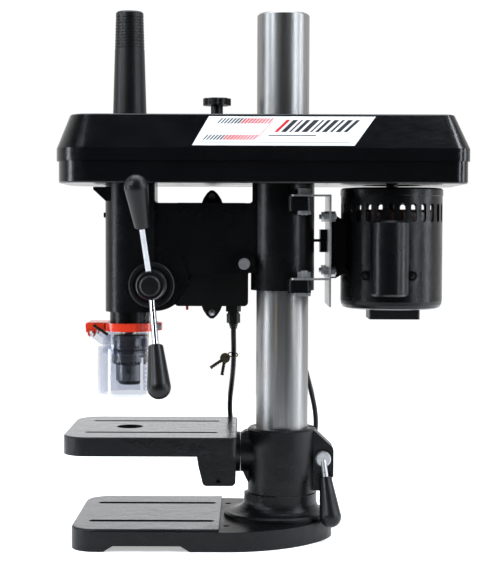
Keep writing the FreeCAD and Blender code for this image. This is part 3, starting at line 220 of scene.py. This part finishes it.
def steel(name, color, rough, grain=(1, 1, 30), rust=0.0, depth=0.00002, metal=1.0):
    """Bare steel with fine grain along one axis, smudges, and rust where rust is above 0."""
    s = Shader(name, color, rough, metal)
    lines = s.noise(60, 6, 0.7, s.stretch(*grain))
    smudge = s.noise(14, 5)
    body = s.mix(s.spread(lines, 0.3, 0.7), tone(color, 0.82), tone(color, 1.12))
    body = s.mix(s.spread(smudge, 0.5, 0.8, 0, 0.35), body, tone(color, 0.62))
    if rust:
        spots = s.spread(s.noise(5, 8, 0.7, s.stretch(9, 9, 1.1)), 0.62, 0.72, 0, rust)
        body = s.mix(spots, body, (0.33, 0.2, 0.1))
    s.color(body)
    s.rough(s.calc("ADD", s.spread(lines, 0.25, 0.75, rough - 0.06, rough + 0.08),
                   s.spread(smudge, 0.5, 0.8, 0, 0.07)))
    s.bump(lines, depth)
    return s.material


def plastic(name, color, rough, grain=900, depth=0.00002, coat=0.0):
    """Moulded plastic with a fine grain, faint flow marks and fine scratches."""
    s = Shader(name, color, rough, Coat_Weight=coat, Coat_Roughness=0.08, IOR=1.49,
               Specular_IOR_Level=0.25)
    flow = s.noise(26, 4)
    s.color(s.mix(s.spread(flow, 0.3, 0.7), tone(color, 0.86), tone(color, 1.12)))
    scratches = s.spread(s.noise(35, 9, 0.8, s.stretch(1, 1, 12)), 0.62, 0.72, 0, 0.12)
    s.rough(s.calc("ADD", s.spread(flow, 0.3, 0.7, rough - 0.03, rough + 0.05), scratches))
    s.bump(s.noise(grain, 3), depth)
    return s.material


def column_steel():
    """Drawn tube: fine lines along it, darker streaks, and a few thin lines of old rust."""
    s = Shader("column_steel", (0.4, 0.39, 0.38), 0.25, 1.0)
    lines = s.noise(60, 6, 0.7, s.stretch(14, 14, 0.25))
    wide = s.noise(30, 3, 0.5, s.stretch(3, 3, 0.08))
    body = s.mix(s.spread(lines, 0.3, 0.7), (0.2, 0.199, 0.198), (0.28, 0.278, 0.276))
    body = s.mix(s.spread(wide, 0.5, 0.68, 0, 0.6), body, (0.12, 0.121, 0.118))
    rust = s.calc("MULTIPLY", s.spread(s.noise(46, 4, 0.6, s.stretch(8, 8, 0.12)), 0.6, 0.66),
                  s.spread(s.noise(9, 5, 0.6), 0.42, 0.6, 0, 0.8))
    s.color(s.mix(rust, body, (0.24, 0.14, 0.06)))
    s.rough(s.calc("ADD", s.spread(lines, 0.25, 0.75, 0.3, 0.4), s.calc("MULTIPLY", rust, 0.25)))
    s.bump(lines, 0.00002)
    return s.material


def guard_plastic():
    """Clear plastic with the slightest clouding and a few hairline scratches."""
    s = Shader("clear_guard", (0.97, 0.98, 0.98), 0.02, IOR=1.45)
    s.set("Transmission Weight", 1.0)
    s.color(s.mix(s.spread(s.noise(20, 4), 0.3, 0.7), (0.66, 0.69, 0.77), (0.72, 0.745, 0.81)))
    scratches = s.spread(s.noise(35, 9, 0.8, s.stretch(1, 1, 12)), 0.66, 0.74, 0, 0.08)
    s.rough(s.calc("ADD", s.spread(s.noise(12, 3), 0.3, 0.7, 0.0, 0.02), scratches))
    return s.material


def winding():
    """Lacquered copper wire laid in bundles."""
    s = Shader("copper", (0.03, 0.014, 0.007), 0.35)
    wave = s.noise(240, 2, 0.5, s.stretch(1, 1, 9))
    s.color(s.mix(s.spread(wave, 0.35, 0.65), (0.012, 0.006, 0.004), (0.05, 0.022, 0.01)))
    s.bump(wave, 0.0004)
    return s.material


BASE_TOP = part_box("base")[1][2] - 0.0254  # the base's milled face, below the top of its bell
MILLED_UNTIL = -0.0715  # where that face ends, along X
MATERIALS = {
    "black_paint": paint("black_paint", (0.0026, 0.0027, 0.003), 0.25, 700, 0.00016,
                         dust=(0.03, 0.03, 0.032)).material,
    "cover_paint": paint("cover_paint", (0.0024, 0.0025, 0.003), 0.2, 800, 0.00012,
                         dust=(0.035, 0.035, 0.038), gloss=0.2).material,
    "base_paint": cast_paint("base_paint", BASE_TOP, MILLED_UNTIL),
    "table_paint": cast_paint("table_paint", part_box("table")[1][2], None, 0.12),
    "cast_paint": cast_paint("cast_paint"),
    "column_steel": column_steel(),
    "machined": steel("machined", (0.42, 0.42, 0.41), 0.26, (1, 1, 40)),
    "zinc": steel("zinc", (0.4, 0.405, 0.41), 0.3, (6, 6, 6), 0.08, metal=0.7),
    "chrome": steel("chrome", (0.4, 0.41, 0.43), 0.12, (4, 4, 4)),
    "chuck_steel": steel("chuck_steel", (0.17, 0.17, 0.17), 0.3, (0.6, 0.6, 25), metal=0.85),
    "knob_plastic": plastic("knob_plastic", (0.004, 0.004, 0.0046), 0.33, 300, 0.00003),
    "black_plastic": plastic("black_plastic", (0.003, 0.003, 0.0033), 0.38, 1200, 0.00008),
    "orange_plastic": plastic("orange_plastic", (0.6, 0.035, 0.012), 0.25, 500, 0.00003, 0.4),
    "green_plastic": plastic("green_plastic", (0.02, 0.3, 0.06), 0.3),
    "clear_guard": guard_plastic(),
    "rubber": plastic("rubber", (0.0025, 0.0025, 0.003), 0.4, 1500, 0.00006),
    "pulley_aluminium": steel("pulley_aluminium", (0.7, 0.7, 0.71), 0.28, (1, 1, 50)),
    "copper": winding(),
    "key_brass": steel("key_brass", (0.1, 0.085, 0.055), 0.35, (6, 6, 6)),
    "dark_steel": steel("dark_steel", (0.09, 0.09, 0.09), 0.3, (1, 1, 30)),
}
# pieces whose look differs from the rest of their material slot
USES = {"base": "base_paint", "table": "table_paint", "belt_lid": "cover_paint",
        "belt_tray": "cover_paint", "switch_keys": "key_brass", "rotor": "dark_steel"}


def dress(obj, material):
    obj.data.materials.clear()
    obj.data.materials.append(material)


slots = {part["node"]: part["material_slot"] for part in frame["record"]["subparts"]}
for name, obj in nodes.items():
    dress(obj, MATERIALS[USES.get(name, slots[name])])


# ---- the lead ----

LEAD_RADIUS = 0.003
GLAND_MOUTH = (-0.057, 0.045, 0.242)
# From the gland down behind the table, round the bottom of a hanging loop, and up behind the
# column and the head to the hole in the belt tray's floor.
LEAD_ROUTE = [
    (-57, 45, 262), (-57, 45, 231), (-56.5, 52, 210), (-57, 66, 190), (-59, 85, 168),
    (-62, 95, 143), (-61, 98, 115), (-50, 102, 86), (-22, 104, 66), (10, 103, 65),
    (35, 100, 79), (44, 96, 103), (44, 91, 126), (38.5, 81, 153), (31, 71, 180),
    (24, 64, 208), (16, 60, 240), (9, 58, 275), (5, 57, 312), (3, 56, 350),
    (2, 55.2, 380), (2, 55, 405),
]


def make_lead():
    """The motor's lead as a curve along LEAD_ROUTE."""
    curve = bpy.data.curves.new("lead", "CURVE")
    curve.dimensions = "3D"
    spline = curve.splines.new("NURBS")
    spline.points.add(len(LEAD_ROUTE) - 1)
    for point, place in zip(spline.points, LEAD_ROUTE):
        point.co = (*(c / 1000 for c in place), 1)
    spline.order_u = 3
    spline.use_endpoint_u = True
    spline.resolution_u = 12
    curve.bevel_depth = LEAD_RADIUS
    curve.bevel_resolution = 4
    curve.use_fill_caps = True
    lead = bpy.data.objects.new("lead", curve)
    scene.collection.objects.link(lead)
    curve.materials.append(MATERIALS["rubber"])
    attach(lead, "frame")
    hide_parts("motor_lead")


def make_boot():
    """A tapered boot below the gland's nut, ribbed like a moulded strain relief."""
    sides, rings = 24, 16
    low, high = 0.2345, 0.2421
    foot_radius, taper, rib = 0.0036, 0.0021, 0.0004
    points, faces = [], []
    for i in range(rings):
        share = i / (rings - 1)
        radius = foot_radius + taper * share + (rib if i % 5 in (2, 3) else 0)
        drift = (1 - share) ** 2 * 0.0032  # how far the boot follows the lead's bend
        for k in range(sides):
            a = 2 * math.pi * k / sides
            points.append((GLAND_MOUTH[0] + drift * 0.05 + radius * math.cos(a),
                           GLAND_MOUTH[1] + drift + radius * math.sin(a),
                           low + (high - low) * share))
    for i in range(rings - 1):
        for k in range(sides):
            j = (k + 1) % sides
            here, above = i * sides, (i + 1) * sides
            faces.append((here + k, here + j, above + j, above + k))
    faces.append(tuple(range(sides))[::-1])
    mesh = bpy.data.meshes.new("lead_boot")
    mesh.from_pydata(points, [], faces)
    mesh.validate()
    mesh.shade_smooth()
    boot = bpy.data.objects.new("lead_boot", mesh)
    scene.collection.objects.link(boot)
    dress(boot, MATERIALS["rubber"])
    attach(boot, "frame")


make_lead()
make_boot()


# ---- label on the cover ----

SLOPE_FOOT, SLOPE_HEAD = Vector((0, -0.080, 0.4424)), Vector((0, -0.060, 0.4808))
WHITE, RED, DARK, PINK, GREY = range(5)


def make_label():
    """A white slanted panel with generic dashes and bars, on the lid's near slope."""
    up = (SLOPE_HEAD - SLOPE_FOOT).normalized()
    out = Vector((0, -up.z, up.y))

    def at(s, t, lift):
        """A point of the panel: s from 0 to 1 along it, t from 0 to 1 up it."""
        x = -0.1013 + s * (0.1776 + 0.0064 * t) + t * 0.018
        return SLOPE_FOOT + up * (0.0026 + t * 0.0372) + Vector((x, 0, 0)) + out * lift

    inks = (("white", (0.82, 0.83, 0.84)), ("red", (0.62, 0.02, 0.03)),
            ("dark", (0.03, 0.03, 0.035)), ("pink", (0.72, 0.2, 0.24)),
            ("grey", (0.3, 0.3, 0.32)))
    points, faces, kinds = [], [], []

    def patch(s0, s1, t0, t1, kind, lift=0.00032, lean=0.0):
        """A strip of faces from s0, t0 to s1, t1; its upper edge is set over by lean."""
        start = len(points)
        steps = 6
        for i in range(steps + 1):
            s = s0 + (s1 - s0) * i / steps
            points.append(at(s, t0, lift))
            points.append(at(s + lean, t1, lift))
        for i in range(steps):
            faces.append((start + 2 * i, start + 2 * i + 2, start + 2 * i + 3, start + 2 * i + 1))
            kinds.append(kind)

    patch(0, 1, 0, 1, WHITE, 0.0002)
    # the framed block at the left end: a row of dashes along its head and its foot
    dashes = 16
    for k in range(dashes):
        share = k / (dashes - 1)
        s0 = 0.045 + 0.0202 * k
        wide = 0.009 + 0.003 * (1 - abs(2 * share - 1))
        top = s0 + 0.028
        patch(top, top + wide, 0.75, 0.93, RED if share > 0.42 else DARK, lean=0.012)
        patch(s0, s0 + wide, 0.19, 0.36, RED if share > 0.36 else DARK, lean=0.012)
    # and a thin line at each of its ends
    for k in range(9):
        s0, t0 = 0.366 + 0.003 * k, 0.2 + 0.068 * k
        patch(s0, s0 + 0.002, t0, t0 + 0.16, PINK, lean=0.016)
        s0, t0 = 0.036 + 0.003 * k, 0.36 + 0.05 * k
        patch(s0, s0 + 0.0035, t0, t0 + 0.03, PINK, lean=0.004)
    # a row of plain slanted bars beside it, over two thin rules
    bars = (0.022, 0.030, 0.012, 0.026, 0.034, 0.012, 0.022, 0.030, 0.016, 0.030, 0.024)
    s0 = 0.452
    for k, wide in enumerate(bars):
        patch(s0, s0 + wide, 0.46, 0.88, RED if k == 0 else DARK, lean=0.028)
        s0 += wide + 0.0185
    patch(0.43, 0.72, 0.33, 0.36, DARK, lean=0.002)
    patch(0.04, 0.96, 0.1, 0.118, GREY, lean=0.002)
    mesh = bpy.data.meshes.new("cover_label")
    mesh.from_pydata([tuple(p) for p in points], [], faces)
    label = bpy.data.objects.new("cover_label", mesh)
    scene.collection.objects.link(label)
    for ink, color in inks:
        mesh.materials.append(plastic("label_" + ink, color, 0.35, 600, 0.00001))
    for face, kind in zip(mesh.polygons, kinds):
        face.material_index = kind
    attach(label, "lid")


make_label()


# ---- floor and light ----

FRONT, BACK = 0.03, 1.02  # how bright the room is in front of the press and behind it
FLOOR_GLOW = 0.42
# name, place, width, height, power in watts
LAMPS = [
    ("key", (-1.25, -1.1, 1.35), 0.22, 1.1, 22),
    ("fill", (1.35, -1.0, 0.8), 0.2, 1.4, 14),
    ("top", (0, 0.1, 1.9), 1.8, 1.2, 34),
    ("left_strip", (-1.4, -0.35, 0.5), 0.25, 1.4, 14),
    ("right_strip", (1.4, -0.2, 0.5), 0.25, 1.4, 12),
    ("high_right", (1.25, -0.5, 1.7), 0.35, 0.6, 14),
]


def make_floor():
    """A pale floor that glows a little as painted light, less so towards the camera, where its colour
    is also painted darker, as painted shade.
    """
    left, right, near, far = -3, 3, -0.8, 1.3
    mesh = bpy.data.meshes.new("floor")
    mesh.from_pydata([(left, near, 0), (right, near, 0), (right, far, 0), (left, far, 0)],
                     [], [(0, 1, 2, 3)])
    obj = bpy.data.objects.new("floor", mesh)
    scene.collection.objects.link(obj)
    pale = Shader("floor_pale", (0.9, 0.9, 0.9), 0.6, Specular_IOR_Level=0.1)
    back = pale.mix(pale.spread(pale.noise(3), 0.3, 0.7), (0.89, 0.89, 0.89), (0.91, 0.91, 0.91))
    depth = pale.coordinate("Y")
    # painted shade: the floor's colour is darker towards the camera, so that less light bounces from
    # it onto the front of the press
    pale.color(pale.mix(pale.spread(depth, -1.1, -0.3), (0.3, 0.3, 0.3), back))
    pale.set("Emission Color", (1, 1, 1, 1))
    pale.link(pale.spread(depth, -0.55, -0.2, 0.0, FLOOR_GLOW),
              pale.main.inputs["Emission Strength"])
    dress(obj, pale.material)


def make_room():
    """A room that lights the press from behind, so that its black paint stays black."""
    world = bpy.data.worlds.new("world")
    world.use_nodes = True
    tree = world.node_tree
    where = tree.nodes.new("ShaderNodeTexCoord")
    split = tree.nodes.new("ShaderNodeSeparateXYZ")
    ramp = tree.nodes.new("ShaderNodeMapRange")
    ramp.interpolation_type = "SMOOTHSTEP"
    for socket, number in (("From Min", -0.1), ("From Max", 0.45),
                           ("To Min", FRONT), ("To Max", BACK)):
        ramp.inputs[socket].default_value = number
    tree.links.new(where.outputs["Generated"], split.inputs["Vector"])
    tree.links.new(split.outputs["Y"], ramp.inputs["Value"])
    # what is seen directly is the same pale backdrop all round
    path = tree.nodes.new("ShaderNodeLightPath")
    seen = tree.nodes.new("ShaderNodeMath")
    seen.operation = "MAXIMUM"
    tree.links.new(ramp.outputs["Result"], seen.inputs[0])
    tree.links.new(path.outputs["Is Camera Ray"], seen.inputs[1])
    background = tree.nodes["Background"]
    tree.links.new(seen.outputs["Value"], background.inputs["Strength"])
    background.inputs["Color"].default_value = (1, 1, 1, 1)
    scene.world = world


def make_lamps():
    target = Vector((-0.03, 0, 0.3))
    for name, place, wide, tall, power in LAMPS:
        light = bpy.data.lights.new(name, "AREA")
        light.shape = "RECTANGLE"
        light.color = (0.87, 0.93, 1)
        light.size, light.size_y, light.energy = wide, tall, power
        lamp = bpy.data.objects.new(name, light)
        lamp.location = place
        aim = target - lamp.location
        lamp.rotation_euler = aim.to_track_quat("-Z", "Y").to_euler()
        scene.collection.objects.link(lamp)


make_floor()
make_room()
make_lamps()
scene.view_settings.view_transform = "Standard"
